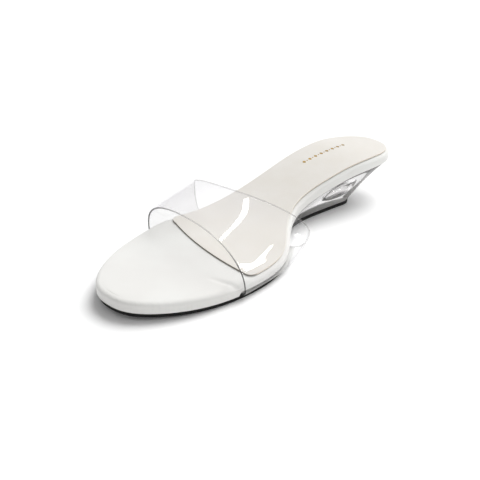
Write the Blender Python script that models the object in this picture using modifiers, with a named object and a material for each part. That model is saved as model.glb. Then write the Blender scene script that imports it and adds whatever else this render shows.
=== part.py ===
"""Right slip-on wedge mule with one broad clear strap, at real size in metres, +Z up.

The toe points along -Y and the heel along +Y. The medial side, with the arch, is +X.
The footbed's plan is worked out from a short table of sections of the last, and every
other piece takes its plan, height and clearances from the footbed's own functions.
"""
from collections import namedtuple

import bmesh
import bpy
import numpy as np

MM = 0.001

# The last: plan, toe spring, arch and heel seat
LENGTH = 247 * MM
BALL_WIDTH = 88.5 * MM
TOE_ROUND = 66 * MM
TOE_POWER = 2.49
HEEL_ROUND = 43 * MM
HEEL_POWER = 2.39
TOE_SPRING = 2.9 * MM
TOE_BREAK = 74 * MM
ARCH_START = 91 * MM
HEEL_SEAT = 223 * MM
HEEL_RISE = 25.8 * MM

# Clearance between two pieces that meet
JOINT_GAP = 0.3 * MM

# Outsole
OUTSOLE_THICKNESS = 2.2 * MM
OUTSOLE_INSET = 1.2 * MM
OUTSOLE_CHAMFER = 0.5 * MM
OUTSOLE_LENGTH = 215 * MM
OUTSOLE_HEEL_ROUND = 13 * MM
OUTSOLE_HEEL_POWER = 2.4
WAIST_START = 102 * MM
WAIST_TAPER = 0.088

# Footbed
FOOTBED_THICKNESS = 7.3 * MM
RIM_TOP_RADIUS = 3.0 * MM
RIM_BOTTOM_RADIUS = 1.0 * MM

# Sock liner
SOCK_THICKNESS = 0.8 * MM
SOCK_INSET = 2.3 * MM
SOCK_NEAR_START = 74 * MM
SOCK_FAR_START = 87 * MM
SOCK_NEAR_FRONT = 67.5 * MM
SOCK_FAR_FRONT = 81.5 * MM
SOCK_BOW = 3.2 * MM
SOCK_CORNER = 7 * MM

# Wedge heel
WEDGE_INSET = 1.6 * MM
WEDGE_TIP = 0.9 * MM
WEDGE_HOLLOW = 1.1 * MM

# Strap
STRAP_WALL = 1.1 * MM
STRAP_EASE = 0.4 * MM
STRAP_HEIGHT = 21.4 * MM
STRAP_TURN = 2.6 * MM
STRAP_TAIL = 9 * MM
STRAP_TURN_POWER = 2.2

# How finely the curved forms are cut into flats
SIDE_STEPS = 54
RIM_STEPS = 5
SOCK_SIDE_STEPS = 42
SOCK_FRONT_STEPS = 8
SOCK_CORNER_STEPS = 6
WEDGE_STEPS = 34
WEDGE_LEVELS = 5
STRAP_ROWS = 13
ARC_STEPS = 10
TURN_STEPS = 8
SHARP_ANGLE = np.radians(35)

# How many places a curve is read at, where a place along it has to be looked up
LOOKUPS = 4001


def table(columns, *rows):
    """Name the columns of a short table and give one array for each."""
    return dict(zip(columns.split(), np.array(rows, dtype=float).T))


# Sections of the last from toe to heel, as shares of LENGTH and of BALL_WIDTH
LAST = table(
    "station half_width centre",
    (0.00, 0.346, 0.134),
    (0.12, 0.433, 0.107),
    (0.24, 0.490, 0.078),
    (0.36, 0.500, 0.028),
    (0.48, 0.363, -0.050),
    (0.60, 0.270, -0.090),
    (0.72, 0.272, -0.072),
    (0.86, 0.288, -0.015),
    (1.00, 0.305, 0.082),
)

# Sections of the strap from its front edge to its rear edge. The places of its ends along
# the shoe are shares of LENGTH. Its stand-off from the rim and its crown are shares of
# BALL_WIDTH. The heights of its widest lines are shares of the height of its crown.
STRAP = table(
    "row far_end near_end far_off near_off far_wide near_wide crown far_power near_power",
    (0.0, 0.269, 0.244, 0.003, 0.008, 0.28, 0.11, 0.055, 2.50, 2.15),
    (0.5, 0.351, 0.362, 0.010, 0.015, 0.55, 0.21, 0.024, 3.20, 2.16),
    (1.0, 0.434, 0.480, 0.058, 0.149, 0.82, 0.57, -0.011, 4.20, 2.11),
)

# A plan has a length, a heel end and a taper of its own, and shares the last's sections
Plan = namedtuple("Plan", "length heel_round heel_power inset taper")
FOOTBED_PLAN = Plan(LENGTH, HEEL_ROUND, HEEL_POWER, 0.0, 0.0)
OUTSOLE_PLAN = Plan(OUTSOLE_LENGTH, OUTSOLE_HEEL_ROUND, OUTSOLE_HEEL_POWER, OUTSOLE_INSET, WAIST_TAPER)

NEAR, FAR = 1.0, -1.0


def smooth_curve(knots, values, at):
    """Read a natural cubic spline through (knots, values) at the places in at."""
    gaps = np.diff(knots)
    slopes = np.diff(values) / gaps
    inner = len(knots) - 2
    system = np.zeros((inner, inner))
    system[np.arange(inner), np.arange(inner)] = 2 * (gaps[:-1] + gaps[1:])
    system[np.arange(inner - 1), np.arange(1, inner)] = gaps[1:-1]
    system[np.arange(1, inner), np.arange(inner - 1)] = gaps[1:-1]
    bend = np.zeros(len(knots))
    bend[1:-1] = np.linalg.solve(system, 6 * np.diff(slopes))
    at = np.asarray(at, dtype=float)
    k = np.clip(np.searchsorted(knots, at) - 1, 0, len(gaps) - 1)
    after = at - knots[k]
    before = knots[k + 1] - at
    gap = gaps[k]
    return ((bend[k] * before**3 + bend[k + 1] * after**3) / (6 * gap)
            + (values[k] / gap - bend[k] * gap / 6) * before
            + (values[k + 1] / gap - bend[k + 1] * gap / 6) * after)


def last_column(name, y):
    """Read one column of the last's table at distances y from the toe, in metres."""
    return BALL_WIDTH * smooth_curve(LAST["station"], LAST[name], y / LENGTH)


def toe_lift(y):
    """Height of the toe spring at y: a parabola that meets the floor at the break."""
    return TOE_SPRING * np.clip(1 - y / TOE_BREAK, 0, None) ** 2


def heel_lift(y):
    """Rise of the footbed at y: a smooth step from the arch to the heel seat."""
    u = np.clip((y - ARCH_START) / (HEEL_SEAT - ARCH_START), 0, 1)
    return HEEL_RISE * (3 - 2 * u) * u**2


def outsole_top(y):
    return toe_lift(y) + OUTSOLE_THICKNESS


def footbed_underside(y):
    return outsole_top(y) + JOINT_GAP + heel_lift(y)


def footbed_top(y):
    return footbed_underside(y) + FOOTBED_THICKNESS


def rim_point(y, side, plan):
    """Plan point of a rim: half the width out from the curved centre line, square to it.

    The half width falls to nothing as a superellipse at the toe and at the plan's heel end.
    """
    toe = np.clip(1 - y / TOE_ROUND, 0, 1)
    heel = np.clip(1 - (plan.length - y) / plan.heel_round, 0, 1)
    ends = ((1 - toe**TOE_POWER) ** (1 / TOE_POWER)
            * (1 - heel**plan.heel_power) ** (1 / plan.heel_power))
    half = (last_column("half_width", y) - plan.taper * np.clip(y - WAIST_START, 0, None)) * ends
    step = 0.5 * MM
    lean = (last_column("centre", y + step) - last_column("centre", y - step)) / (2 * step)
    along = 1 / np.hypot(1, lean)
    x = last_column("centre", y) + side * half * along
    return np.stack([x, y - side * half * lean * along], axis=-1)


def rim_outline(y, side, plan, inset):
    """Rim points moved inwards by inset, square to the rim itself."""
    step = 0.02 * MM
    ahead = rim_point(np.clip(y + step, 0, plan.length), side, plan)
    behind = rim_point(np.clip(y - step, 0, plan.length), side, plan)
    run = ahead - behind
    run /= np.linalg.norm(run, axis=-1, keepdims=True)
    inwards = side * np.stack([-run[:, 1], run[:, 0]], axis=-1)
    return rim_point(y, side, plan) + (plan.inset + inset) * inwards


def stations(start, plan, count):
    """Places along a plan, evenly spaced round its rim from start to its heel end.

    A plan that starts at the toe begins half a step from the tip, as it ends at the heel,
    so that its two sides close with one flat of the same size.
    """
    turn = np.linspace(0, np.pi, LOOKUPS)
    y = start + (plan.length - start) * (0.5 - 0.5 * np.cos(turn))
    steps = [np.linalg.norm(np.diff(rim_point(y, side, plan), axis=0), axis=1) for side in (NEAR, FAR)]
    travel = np.concatenate([[0.0], np.cumsum(sum(steps))])
    first = 0.5 if start == 0 else 0.0
    share = (first + np.arange(count)) / (count - 0.5 + first)
    return np.interp(share * travel[-1], travel, y)


def loop(near, far):
    """Close two sides, each running from toe to heel, into one loop."""
    return np.concatenate([near, far[::-1]])


def plan_loop(y, plan, inset):
    return loop(rim_outline(y, NEAR, plan, inset), rim_outline(y, FAR, plan, inset))


def raise_loop(flat, height):
    """Give a plan loop a height that depends on the distance from the toe."""
    return np.column_stack([flat, height(flat[:, 1])])


def new_material(name, colour, roughness, transmission=0.0):
    material = bpy.data.materials.new(name)
    material.use_nodes = True
    shader = material.node_tree.nodes["Principled BSDF"]
    shader.inputs["Base Color"].default_value = (*colour, 1.0)
    shader.inputs["Roughness"].default_value = roughness
    shader.inputs["Metallic"].default_value = 0.0
    shader.inputs["Transmission Weight"].default_value = transmission
    return material


def new_object(name, vertices, faces, collection, material=None):
    mesh = bpy.data.meshes.new(name)
    mesh.from_pydata(vertices.tolist(), [], faces)
    piece = bpy.data.objects.new(name, mesh)
    collection.objects.link(piece)
    if material:
        mesh.materials.append(material)
    return piece


def skin_loops(name, loops, collection, material):
    """Loft a closed skin through a stack of loops, from the lowest to the highest.

    Each end is bridged from the loop's near half to its far half, point to point.
    """
    count = len(loops[0])
    half = count // 2
    faces = []
    for level in range(len(loops) - 1):
        low, high = level * count, (level + 1) * count
        for i in range(count):
            j = (i + 1) % count
            faces.append((low + i, low + j, high + j, high + i))
    top = (len(loops) - 1) * count
    for i in range(half - 1):
        across, back = count - 1 - i, count - 2 - i
        faces.append((top + i, top + i + 1, top + back, top + across))
        faces.append((across, back, i + 1, i))
    piece = new_object(name, np.concatenate(loops), faces, collection, material)
    mesh = bmesh.new()
    mesh.from_mesh(piece.data)
    bmesh.ops.recalc_face_normals(mesh, faces=mesh.faces)
    mesh.to_mesh(piece.data)
    mesh.free()
    piece.data.shade_smooth()
    piece.data.set_sharp_from_angle(angle=SHARP_ANGLE)
    return piece


def make_outsole(collection):
    """Thin sole of one thickness, with its lower edge chamfered."""
    y = stations(0, OUTSOLE_PLAN, SIDE_STEPS)
    levels = table(
        "inset height",
        (OUTSOLE_CHAMFER, 0),
        (0, OUTSOLE_CHAMFER),
        (0, OUTSOLE_THICKNESS),
    )
    loops = [raise_loop(plan_loop(y, OUTSOLE_PLAN, inset), lambda at: toe_lift(at) + height)
             for inset, height in zip(levels["inset"], levels["height"])]
    rubber = new_material("black_rubber", (0.012, 0.012, 0.013), 0.75)
    return skin_loops("outsole", loops, collection, rubber)


def rim_levels():
    """Insets and depths of the footbed's rim: a small arc below and a wide one above."""
    angle = np.linspace(0, np.pi / 2, RIM_STEPS)
    low_inset = RIM_BOTTOM_RADIUS * (1 - np.sin(angle))
    low_depth = RIM_BOTTOM_RADIUS * (1 - np.cos(angle)) - FOOTBED_THICKNESS
    top_inset = RIM_TOP_RADIUS * (1 - np.cos(angle))
    top_depth = RIM_TOP_RADIUS * (np.sin(angle) - 1)
    return np.concatenate([low_inset[::2], top_inset]), np.concatenate([low_depth[::2], top_depth])


def make_footbed(collection):
    """Padded board with a rounded rim, following toe spring, arch and heel seat."""
    y = stations(0, FOOTBED_PLAN, SIDE_STEPS)
    loops = [raise_loop(plan_loop(y, FOOTBED_PLAN, inset), lambda at: footbed_top(at) + depth)
             for inset, depth in zip(*rim_levels())]
    leather = new_material("off_white_leather", (0.80, 0.79, 0.77), 0.5)
    return skin_loops("footbed", loops, collection, leather)


def station_at(y, side):
    """Station whose rim point lies at the distance y from the toe."""
    places = np.linspace(0, LENGTH, LOOKUPS)
    return np.interp(y, rim_point(places, side, FOOTBED_PLAN)[:, 1], places)


def front_half(first, front, centre):
    """Half of the sock's front edge, from its middle to the first point of its side.

    The edge is bowed towards the toe, and its corner is a quadratic Bezier curve.
    """
    corner = np.array([first[0], front])
    edge_end = corner + (centre - corner) * SOCK_CORNER / np.linalg.norm(centre - corner)
    share = np.linspace(0, 1, SOCK_FRONT_STEPS)[1:, None]
    edge = centre + (edge_end - centre) * share
    edge[:, 1] -= SOCK_BOW * (1 - share[:, 0] ** 2)
    turn = np.linspace(0, 1, SOCK_CORNER_STEPS)[1:-1, None]
    bend = (1 - turn) ** 2 * edge_end + 2 * turn * (1 - turn) * corner + turn**2 * first
    return np.concatenate([edge, bend])


def make_sock_liner(collection):
    """Thin liner on the footbed, with a bowed front edge behind the toes."""
    sides = []
    for side, start in ((NEAR, SOCK_NEAR_START), (FAR, SOCK_FAR_START)):
        y = stations(station_at(start, side), FOOTBED_PLAN, SOCK_SIDE_STEPS)
        sides.append(rim_outline(y, side, FOOTBED_PLAN, SOCK_INSET))
    fronts = (SOCK_NEAR_FRONT, SOCK_FAR_FRONT)
    centre = np.array([(sides[0][0, 0] + sides[1][0, 0]) / 2, sum(fronts) / 2])
    halves = [np.concatenate([front_half(edge[0], front, centre), edge]) for edge, front in zip(sides, fronts)]
    flat = loop(*halves)
    loops = [raise_loop(flat, lambda at: footbed_top(at) + JOINT_GAP + height)
             for height in (0.0, SOCK_THICKNESS)]
    suede = new_material("beige_suede", (0.66, 0.62, 0.57), 0.85)
    return skin_loops("sock_liner", loops, collection, suede)


def wedge_start():
    """Distance from the toe at which the wedge's tip fits under the footbed."""
    y = np.linspace(ARCH_START, HEEL_SEAT, LOOKUPS)
    room = footbed_underside(y) - outsole_top(y) - 2 * JOINT_GAP
    return np.interp(WEDGE_TIP, room, y)


def make_wedge_heel(collection):
    """Clear wedge, ruled from the footbed's underside to the shorter outsole."""
    start = wedge_start()
    high_y = stations(start, FOOTBED_PLAN, WEDGE_STEPS)
    low_y = start + (high_y - start) * (OUTSOLE_LENGTH - start) / (LENGTH - start)
    high = plan_loop(high_y, FOOTBED_PLAN, WEDGE_INSET)
    low = plan_loop(low_y, OUTSOLE_PLAN, 0.0)
    middle = (last_column("centre", high[:, 1]) + last_column("centre", low[:, 1])) / 2
    high = raise_loop(high, lambda at: footbed_underside(at) - JOINT_GAP)
    low = raise_loop(low, lambda at: outsole_top(at) + JOINT_GAP)
    loops = []
    for share in np.linspace(0, 1, WEDGE_LEVELS):
        level = low + (high - low) * share
        out = level[:, 0] - middle
        level[:, 0] -= WEDGE_HOLLOW * np.sin(np.pi * share) * out / np.maximum(np.abs(out), MM)
        loops.append(level)
    vinyl = new_material("clear_moulded_vinyl", (0.92, 0.93, 0.94), 0.08, transmission=0.9)
    return skin_loops("wedge_heel", loops, collection, vinyl)


def rim_x(y, side):
    """Where the footbed's rim stands across the shoe at y."""
    places = np.linspace(0, LENGTH, LOOKUPS)
    rim = rim_point(places, side, FOOTBED_PLAN)
    return np.interp(y, rim[:, 1], rim[:, 0])


def arc(start, end, power, count):
    """Quarter superellipse that leaves start upright and reaches end level."""
    turn = np.linspace(0, np.pi / 2, count)
    x = end[0] + (start[0] - end[0]) * np.abs(np.cos(turn)) ** (2 / power)
    z = start[1] + (end[1] - start[1]) * np.sin(turn) ** (2 / power)
    return np.column_stack([x, z])


def strap_section(row, spread):
    """Outer line of the strap across the shoe at one row, from far tail to near tail.

    spread lengthens both tails, for the pocket that is cut for them.
    """
    at = {name: smooth_curve(STRAP["row"], values, row) for name, values in STRAP.items()}
    floor_to_foot = outsole_top(LENGTH / 2) + JOINT_GAP + FOOTBED_THICKNESS
    crown = np.array([at["crown"] * BALL_WIDTH, floor_to_foot + STRAP_HEIGHT])
    halves = {}
    for side, name in ((NEAR, "near"), (FAR, "far")):
        y = at[name + "_end"] * LENGTH
        under = footbed_underside(y)
        rim = rim_x(y, side)
        off = JOINT_GAP + STRAP_WALL + STRAP_EASE + at[name + "_off"] * BALL_WIDTH
        wide = np.array([rim + side * off, under + at[name + "_wide"] * (crown[1] - under)])
        turn = np.array([rim - side * STRAP_TURN, under])
        tail = turn - np.array([side * (STRAP_TAIL + spread), 0.0])
        upper = arc(wide, crown, at[name + "_power"], ARC_STEPS)
        lower = arc(wide, turn, STRAP_TURN_POWER, TURN_STEPS)
        line = np.concatenate([[tail], lower[::-1], upper[1:]])
        halves[side] = (line, y, wide[0])
    line = np.concatenate([halves[FAR][0], halves[NEAR][0][::-1][1:]])
    share = (line[:, 0] - halves[FAR][2]) / (halves[NEAR][2] - halves[FAR][2])
    y = halves[FAR][1] + (halves[NEAR][1] - halves[FAR][1]) * share
    tucked = np.zeros(len(line))
    tucked[[0, 1, -2, -1]] = 1
    z = np.where(tucked > 0, footbed_underside(y), line[:, 1])
    return np.column_stack([line[:, 0], y, z])


def strap_sheet(name, collection, spread):
    """Open sheet through the strap's sections, spread beyond its edges if wanted."""
    rows = np.linspace(0, 1, STRAP_ROWS)
    grid = np.array([strap_section(row, spread) for row in rows])
    for edge, inner in ((0, 1), (-1, -2)):
        out = grid[edge] - grid[inner]
        grid[edge] += spread * out / np.linalg.norm(out, axis=1, keepdims=True)
    across = grid.shape[1]
    faces = [(r * across + i, r * across + i + 1, (r + 1) * across + i + 1, (r + 1) * across + i)
             for r in range(STRAP_ROWS - 1) for i in range(across - 1)]
    piece = new_object(name, grid.reshape(-1, 3), faces, collection)
    piece.data.shade_smooth()
    return piece


def add_wall(piece, outside, inside):
    """Thicken a sheet by so much outside and inside its own surface."""
    wall = piece.modifiers.new("wall", "SOLIDIFY")
    wall.thickness = outside + inside
    wall.offset = (outside - inside) / (outside + inside)
    wall.use_even_offset = True
    return wall


def make_strap(collection):
    """Upper: one bent clear sheet with a real wall, open in front and behind."""
    piece = strap_sheet("strap", collection, 0.0)
    add_wall(piece, 0.0, STRAP_WALL)
    piece.data.materials.append(new_material("clear_sheet_vinyl", (0.90, 0.90, 0.93), 0.06, transmission=0.9))
    return piece


def cut_strap_pockets(footbed, cutters):
    """Cut room for the strap's tails into the footbed, with the joint's gap all round."""
    room = strap_sheet("strap_room", cutters, JOINT_GAP)
    add_wall(room, JOINT_GAP, STRAP_WALL + JOINT_GAP)
    room.hide_render = True
    room.display_type = "WIRE"
    cut = footbed.modifiers.new("strap_pockets", "BOOLEAN")
    cut.operation = "DIFFERENCE"
    cut.object = room


def stand_at_origin(pieces, guides, collection):
    """Hang all on one empty, moved so that the origin is the box's bottom centre."""
    bpy.context.view_layer.update()
    depsgraph = bpy.context.evaluated_depsgraph_get()
    corners = []
    for piece in pieces:
        shape = piece.evaluated_get(depsgraph)
        corners.append(np.array([piece.matrix_world @ vertex.co for vertex in shape.data.vertices]))
    points = np.concatenate(corners)
    low, high = points.min(axis=0), points.max(axis=0)
    stand = bpy.data.objects.new("stand_point", None)
    stand.location = (-(low[0] + high[0]) / 2, -(low[1] + high[1]) / 2, -low[2])
    collection.objects.link(stand)
    for piece in pieces + guides:
        piece.parent = stand


def main():
    for old in list(bpy.data.objects):
        bpy.data.objects.remove(old)
    shoe = bpy.data.collections.new("right_wedge_mule")
    cutters = bpy.data.collections.new("cutters")
    for collection in (shoe, cutters):
        bpy.context.scene.collection.children.link(collection)
    outsole = make_outsole(shoe)
    wedge_heel = make_wedge_heel(shoe)
    footbed = make_footbed(shoe)
    sock_liner = make_sock_liner(shoe)
    strap = make_strap(shoe)
    cut_strap_pockets(footbed, cutters)
    stand_at_origin([outsole, wedge_heel, footbed, sock_liner, strap], list(cutters.objects), shoe)


main()
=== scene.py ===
# %% [markdown]
# # A clear-strap wedge mule, for the right foot
#
# The real shoe is a padded board wrapped in off-white leather, with a suede sock on top, a
# moulded clear wedge below, a thin black rubber sole and one broad strap of clear vinyl.
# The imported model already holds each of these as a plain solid. Here every one of them gets
# its fine surface and its finish.
#
# The script is a row of short cells. Each shape is a formula on a grid, worked out with
# numpy, so that it can be read, checked and changed. Lengths are in metres, and MM turns
# a size in millimetres into metres.

from collections import namedtuple
from functools import partial

import bmesh
import bpy
import numpy as np
from mathutils import Matrix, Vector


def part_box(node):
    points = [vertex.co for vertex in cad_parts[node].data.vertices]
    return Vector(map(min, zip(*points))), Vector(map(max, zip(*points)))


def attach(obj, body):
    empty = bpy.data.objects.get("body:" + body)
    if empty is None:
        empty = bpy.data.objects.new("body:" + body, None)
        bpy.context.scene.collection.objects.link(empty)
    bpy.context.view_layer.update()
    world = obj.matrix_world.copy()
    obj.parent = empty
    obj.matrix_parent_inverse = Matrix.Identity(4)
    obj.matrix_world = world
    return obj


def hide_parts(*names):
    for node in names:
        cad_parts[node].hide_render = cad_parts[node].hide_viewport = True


MM = 0.001

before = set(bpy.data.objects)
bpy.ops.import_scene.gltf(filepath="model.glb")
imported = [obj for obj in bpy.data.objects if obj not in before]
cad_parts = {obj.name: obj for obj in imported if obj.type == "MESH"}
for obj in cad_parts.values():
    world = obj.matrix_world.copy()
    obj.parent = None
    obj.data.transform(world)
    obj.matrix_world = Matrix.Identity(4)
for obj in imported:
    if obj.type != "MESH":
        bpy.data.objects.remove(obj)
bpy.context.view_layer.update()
print("CAD nodes:", ", ".join(sorted(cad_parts)))

# %% [markdown]
# ## The last
#
# A shoe takes its shape from a last, the form that it is built on. A photograph gives its
# outline, and a shoemaker would draw that as a centre line and a width at a few places along
# the foot. The table below does the same, as shares of the length and of the ball's width.
# A smooth curve through those few places gives every other one, which keeps the outline
# free of bumps that a long list of points would bring.

# %% The last: named sizes and its table of sections
LENGTH = 247 * MM
BALL_WIDTH = 88.5 * MM
TOE_ROUND = 66 * MM
TOE_POWER = 2.49
HEEL_ROUND = 43 * MM
HEEL_POWER = 2.39
TOE_SPRING = 2.9 * MM
TOE_BREAK = 74 * MM
ARCH_START = 91 * MM
HEEL_SEAT = 223 * MM
HEEL_RISE = 25.8 * MM
JOINT_GAP = 0.3 * MM
OUTSOLE_THICKNESS = 2.2 * MM
FOOTBED_THICKNESS = 7.3 * MM
NEAR, FAR = 1.0, -1.0


def table(columns, *rows):
    """Name the columns of a short table and give one array for each."""
    return dict(zip(columns.split(), np.array(rows, dtype=float).T))


LAST = table(
    "station half_width centre",
    (0.00, 0.346, 0.134),
    (0.12, 0.433, 0.107),
    (0.24, 0.490, 0.078),
    (0.36, 0.500, 0.028),
    (0.48, 0.363, -0.050),
    (0.60, 0.270, -0.090),
    (0.72, 0.272, -0.072),
    (0.86, 0.288, -0.015),
    (1.00, 0.305, 0.082),
)


# %% The last: how its table and its heights are read
def smooth_curve(knots, values, at):
    """Natural cubic spline: between two knots the curve is a cubic, and its slope and bend
    run on through each knot. The bends at the knots come from one small linear system."""
    gaps = np.diff(knots)
    slopes = np.diff(values) / gaps
    inner = len(knots) - 2
    system = np.zeros((inner, inner))
    system[np.arange(inner), np.arange(inner)] = 2 * (gaps[:-1] + gaps[1:])
    system[np.arange(inner - 1), np.arange(1, inner)] = gaps[1:-1]
    system[np.arange(1, inner), np.arange(inner - 1)] = gaps[1:-1]
    bend = np.zeros(len(knots))
    bend[1:-1] = np.linalg.solve(system, 6 * np.diff(slopes))
    at = np.asarray(at, dtype=float)
    k = np.clip(np.searchsorted(knots, at) - 1, 0, len(gaps) - 1)
    after = at - knots[k]
    before = knots[k + 1] - at
    gap = gaps[k]
    return ((bend[k] * before**3 + bend[k + 1] * after**3) / (6 * gap)
            + (values[k] / gap - bend[k] * gap / 6) * before
            + (values[k + 1] / gap - bend[k + 1] * gap / 6) * after)


def last_column(name, y):
    """One column of the last's table at distances y from the toe, in metres."""
    return BALL_WIDTH * smooth_curve(LAST["station"], LAST[name], y / LENGTH)


def smooth_step(low, high, at):
    """0 below low, 1 above high, and 3u^2 - 2u^3 in between."""
    u = np.clip((at - low) / (high - low), 0, 1)
    return (3 - 2 * u) * u**2


def toe_lift(y):
    """Toe spring: a parabola that meets the floor at the break."""
    return TOE_SPRING * np.clip(1 - y / TOE_BREAK, 0, None) ** 2


def outsole_top(y):
    return toe_lift(y) + OUTSOLE_THICKNESS


def footbed_underside(y):
    """The outsole's top, the joint and the rise of the arch to the heel seat."""
    return outsole_top(y) + JOINT_GAP + HEEL_RISE * smooth_step(ARCH_START, HEEL_SEAT, y)


def footbed_top(y):
    return footbed_underside(y) + FOOTBED_THICKNESS


print("Heel seat at", round(float(footbed_top(LENGTH)) / MM, 1), "mm")

# %% [markdown]
# ## Plans and stations
#
# The footbed, wedge and sole share the last's sections, but each has a length, a heel end
# and a taper of its own. A point of a rim stands half the width out from the curved centre
# line, square to it, and that half width falls to nothing at each end as a superellipse.
# Every shape below starts from such rims, so that all of them follow the same foot.

# %% Plans: rims, insets and evenly spaced stations
Plan = namedtuple("Plan", "length heel_round heel_power inset taper")
OUTSOLE_LENGTH = 215 * MM
OUTSOLE_INSET = 1.2 * MM
WAIST_START = 102 * MM
WAIST_TAPER = 0.088
FOOTBED_PLAN = Plan(LENGTH, HEEL_ROUND, HEEL_POWER, 0.0, 0.0)
OUTSOLE_PLAN = Plan(OUTSOLE_LENGTH, 13 * MM, 2.4, OUTSOLE_INSET, WAIST_TAPER)
LOOKUPS = 4001


def rim_point(y, side, plan):
    """Centre line plus half the width, square to it. The half width is the table's, less
    the taper of the waist, times (1 - t^p)^(1/p) at the toe and at the heel end."""
    toe = np.clip(1 - y / TOE_ROUND, 0, 1)
    heel = np.clip(1 - (plan.length - y) / plan.heel_round, 0, 1)
    ends = (1 - toe**TOE_POWER) ** (1 / TOE_POWER) * (1 - heel**plan.heel_power) ** (1 / plan.heel_power)
    half = (last_column("half_width", y) - plan.taper * np.clip(y - WAIST_START, 0, None)) * ends
    step = 0.5 * MM
    lean = (last_column("centre", y + step) - last_column("centre", y - step)) / (2 * step)
    out = side * half / np.hypot(1, lean)
    return np.stack([last_column("centre", y) + out, y - out * lean], axis=-1)


def rim_outline(y, side, plan, inset):
    """Rim points moved inwards by inset, square to the rim. The direction of the rim is the
    difference of two points a little ahead and a little behind."""
    step = 0.02 * MM
    ahead = rim_point(np.clip(y + step, 0, plan.length), side, plan)
    behind = rim_point(np.clip(y - step, 0, plan.length), side, plan)
    run = ahead - behind
    run = run / np.linalg.norm(run, axis=-1, keepdims=True)
    inwards = side * np.stack([-run[..., 1], run[..., 0]], axis=-1)
    return rim_point(y, side, plan) + (plan.inset + np.asarray(inset)[..., None]) * inwards


def stations(start, plan, count):
    """Places along a plan, evenly spaced round its rim. Both rims are walked in small steps,
    and the places are read off at equal shares of the distance walked."""
    turn = np.linspace(0, np.pi, LOOKUPS)
    y = start + (plan.length - start) * (0.5 - 0.5 * np.cos(turn))
    steps = [np.linalg.norm(np.diff(rim_point(y, side, plan), axis=0), axis=1) for side in (NEAR, FAR)]
    travel = np.concatenate([[0.0], np.cumsum(sum(steps))])
    first = 0.5 if start == 0 else 0.0
    share = (first + np.arange(count)) / (count - 0.5 + first)
    return np.interp(share * travel[-1], travel, y)


# %% Plans: the last's place in the frame
rim_y = stations(0, FOOTBED_PLAN, 800)
rim = np.concatenate([rim_point(rim_y, side, FOOTBED_PLAN) for side in (NEAR, FAR)])
footbed_box = np.array([list(corner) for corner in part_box("footbed")])[:, :2]
PLACE = np.append(footbed_box.mean(axis=0) - (rim.min(axis=0) + rim.max(axis=0)) / 2, 0.0)
print("Last's own origin in the frame, mm:", np.round(PLACE / MM, 3))
rim_excess = np.ptp(rim, axis=0) - np.ptp(footbed_box, axis=0)
print("Rim against the CAD footbed, mm:", np.round(rim_excess / MM, 3))

# %% [markdown]
# ## From a grid of numbers to a closed mesh
#
# Each piece is a stack of rings. A ring runs along the near side from toe to heel, and back
# along the far side. Where a stack starts or ends on the middle line, the two sides meet
# there point for point, which closes the skin with quads and without a pole.
# The signed volume, printed for every piece, tells whether its faces point outwards.

# %% Mesh helpers: rings
def towards_rim(count):
    """Shares from 1, on the middle line, down to the last one short of the rim."""
    return np.linspace(1, 0, count + 1)[:-1]


def close_ring(near, far, share=0.0):
    """One ring from its two sides, each moved towards the middle line by a share."""
    middle = (near + far) / 2
    return np.concatenate([near + (middle - near) * share, (far + (middle - far) * share)[::-1]])


def ring_points(rings):
    """All points of a stack of rings, with those that the two sides share taken once."""
    half = rings.shape[1] // 2
    return np.concatenate([rings[0, :half], rings[1:-1].reshape(-1, 3), rings[-1, :half]])


def ring_faces(levels, around):
    """Quads between neighbouring rings. In the first and last ring the far side uses the
    near side's points, so one corner falls away where the two sides meet."""
    half = around // 2
    across = np.arange(around)
    folded = np.minimum(across, around - 1 - across)
    number = np.empty((levels, around), dtype=int)
    number[0] = folded
    number[1:-1] = half + np.arange((levels - 2) * around).reshape(levels - 2, around)
    number[-1] = half + (levels - 2) * around + folded
    beside = np.roll(number, -1, axis=1)
    quads = np.stack([number[:-1], beside[:-1], beside[1:], number[1:]], axis=-1)
    return [tuple(dict.fromkeys(quad)) for quad in quads.reshape(-1, 4).tolist()]


# %% Mesh helpers: pieces
def add_object(name, data):
    """Put a mesh, a lamp or a camera into the scene."""
    thing = bpy.data.objects.new(name, data)
    bpy.context.scene.collection.objects.link(thing)
    return thing


def signed_volume(piece):
    """Volume inside a piece. It is positive when the faces point outwards."""
    shell = bmesh.new()
    shell.from_mesh(piece.data)
    volume = shell.calc_volume(signed=True)
    shell.free()
    return volume


def put_piece(name, points, faces, materials, sharp_angle=35):
    """Put points and faces into a mesh, at the last's place in the frame."""
    mesh = bpy.data.meshes.new(name)
    mesh.from_pydata((points + PLACE).tolist(), [], faces)
    piece = add_object(name, mesh)
    for material in materials:
        mesh.materials.append(material)
    mesh.shade_smooth()
    mesh.set_sharp_from_angle(angle=np.radians(sharp_angle))
    print(f"{name}: {len(faces)} faces, volume {signed_volume(piece) / MM**3 / 1000:.2f} cm3")
    return piece


def put_rings(name, rings, materials, sharp_angle=35):
    """Closed skin through rings, an array of levels by points by three."""
    return put_piece(name, ring_points(rings), ring_faces(*rings.shape[:2]), materials, sharp_angle)


def piece_points(piece):
    """The vertices of a piece in the last's own place, as rows x, y and z."""
    points = np.empty(len(piece.data.vertices) * 3)
    piece.data.vertices.foreach_get("co", points)
    return (points.reshape(-1, 3) - PLACE).T


def give_tone(piece, name, values):
    """Store one number for each vertex, which a material can read as an attribute."""
    attribute = piece.data.attributes.new(name, "FLOAT", "POINT")
    attribute.data.foreach_set("value", np.asarray(values, dtype=np.float32).ravel())


def give_materials(piece, numbers):
    """Give each face the number of its material."""
    piece.data.polygons.foreach_set("material_index", np.asarray(numbers, dtype=np.int32))


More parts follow.
